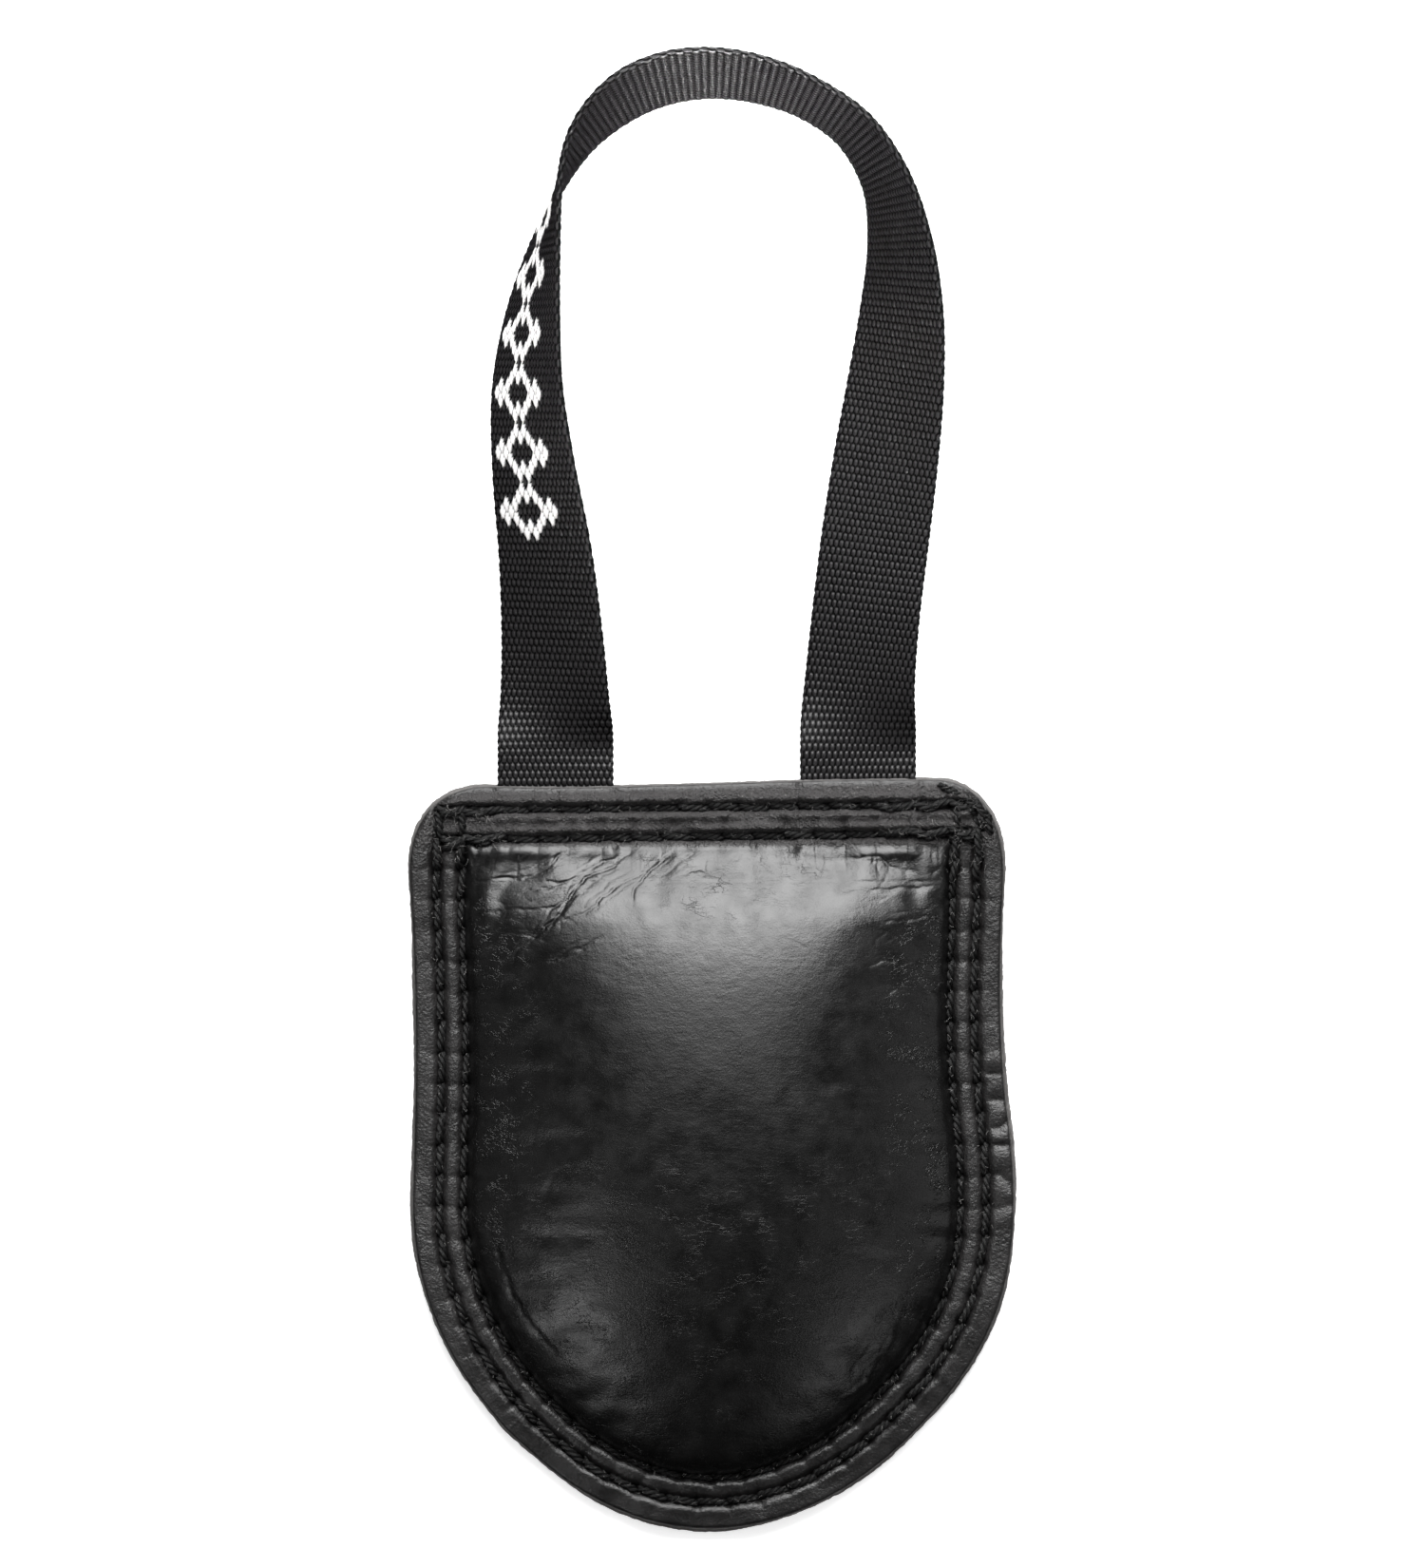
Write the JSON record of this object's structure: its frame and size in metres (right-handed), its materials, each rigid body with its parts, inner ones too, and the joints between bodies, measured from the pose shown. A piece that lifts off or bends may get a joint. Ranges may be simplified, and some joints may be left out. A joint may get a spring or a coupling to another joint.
{
  "type": "padded hand grip",
  "caption": "Padded leather hand grip with a sewn webbing wrist loop that folds about the pad's top edge.",
  "frame": {"origin": "on the flat of the pad's back, where it lies on a surface, midway along the pad", "axes": "+Z out of the padded front, +Y along the pad towards the wrist loop, +X across the pad"},
  "size_m": [0.1057, 0.2589, 0.0222],
  "materials": {
    "leather": "black full-grain leather with a soft sheen",
    "back_leather": "black leather, matt",
    "foam": "closed-cell foam",
    "webbing": "plain-woven black webbing",
    "thread": "thick three-ply black bonded thread"
  },
  "bodies": {
    "pad": {"front_panel": "leather", "back_panel": "back_leather", "padding": "foam", "strap_end_left": "webbing", "strap_end_right": "webbing", "needle_thread_side_outer": "thread", "needle_thread_side_inner": "thread", "needle_thread_top_outer": "thread", "needle_thread_top_inner": "thread", "bobbin_thread_side_outer": "thread", "bobbin_thread_side_inner": "thread", "bobbin_thread_top_outer": "thread", "bobbin_thread_top_inner": "thread"},
    "loop": {"strap_loop": "webbing"}
  },
  "joints": [
    {"name": "loop_fold", "type": "hinge", "parent": "pad", "child": "loop", "pos_m": [0, 0.07, 0.00325], "axis": [1, 0, 0], "range_deg": [-120, 120]}
  ]
}
